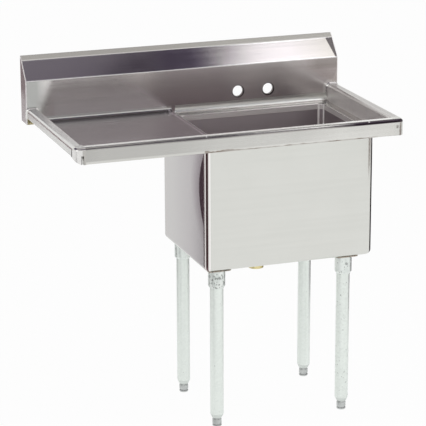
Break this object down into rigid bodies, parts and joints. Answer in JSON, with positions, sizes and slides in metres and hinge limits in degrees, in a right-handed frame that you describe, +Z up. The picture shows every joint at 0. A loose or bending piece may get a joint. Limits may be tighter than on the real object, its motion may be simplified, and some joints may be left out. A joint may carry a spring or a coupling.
{
  "type": "commercial sink",
  "caption": "Free-standing stainless commercial sink with a deep bowl, a drainboard on the left, a backsplash with faucet holes, and tube legs on adjustable feet.",
  "frame": {"origin": "on the floor, below the middle of the object's box", "axes": "+X to the right along the front, +Y back towards the wall, +Z up"},
  "size_m": [1.029, 0.58, 1.1143],
  "materials": {
    "stainless": "brushed stainless sheet, polished at the welds",
    "galvanised": "galvanised tube, pale and slightly mottled",
    "foot_metal": "die-cast metal",
    "brass": "plain brass",
    "rubber": "black rubber",
    "fibre": "brown fibre"
  },
  "bodies": {
    "sink": {"backsplash": "stainless", "left_end_cap": "stainless", "right_end_cap": "stainless", "front_rim": "stainless", "left_rim": "stainless", "right_rim": "stainless", "front_left_corner": "stainless", "front_right_corner": "stainless", "drainboard": "stainless", "drainboard_stiffener": "galvanised", "bowl_ledge": "stainless", "bowl": "stainless", "strainer_body": "stainless", "drain_gasket": "rubber", "drain_slip_ring": "fibre", "drain_locknut": "brass", "outlet_coupling": "brass", "socket_set_screws": "foot_metal", "leg_socket_front_left": "galvanised", "leg_tube_front_left": "galvanised", "foot_insert_front_left": "foot_metal", "leg_socket_front_right": "galvanised", "leg_tube_front_right": "galvanised", "foot_insert_front_right": "foot_metal", "leg_socket_back_left": "galvanised", "leg_tube_back_left": "galvanised", "foot_insert_back_left": "foot_metal", "leg_socket_back_right": "galvanised", "leg_tube_back_right": "galvanised", "foot_insert_back_right": "foot_metal"},
    "foot_front_left": {"bullet_foot_front_left": "foot_metal"},
    "foot_front_right": {"bullet_foot_front_right": "foot_metal"},
    "foot_back_left": {"bullet_foot_back_left": "foot_metal"},
    "foot_back_right": {"bullet_foot_back_right": "foot_metal"},
    "basket": {"strainer_basket": "stainless", "basket_post": "stainless"}
  },
  "joints": [
    {"name": "foot_front_left_screw", "type": "slide", "parent": "sink", "child": "foot_front_left", "axis": [0, 0, -1], "range_m": [0, 0.025]},
    {"name": "foot_front_right_screw", "type": "slide", "parent": "sink", "child": "foot_front_right", "axis": [0, 0, -1], "range_m": [0, 0.025]},
    {"name": "foot_back_left_screw", "type": "slide", "parent": "sink", "child": "foot_back_left", "axis": [0, 0, -1], "range_m": [0, 0.025]},
    {"name": "foot_back_right_screw", "type": "slide", "parent": "sink", "child": "foot_back_right", "axis": [0, 0, -1], "range_m": [0, 0.025]},
    {"name": "basket_lift", "type": "slide", "parent": "sink", "child": "basket", "axis": [0, 0, 1], "range_m": [0, 0.06]}
  ]
}
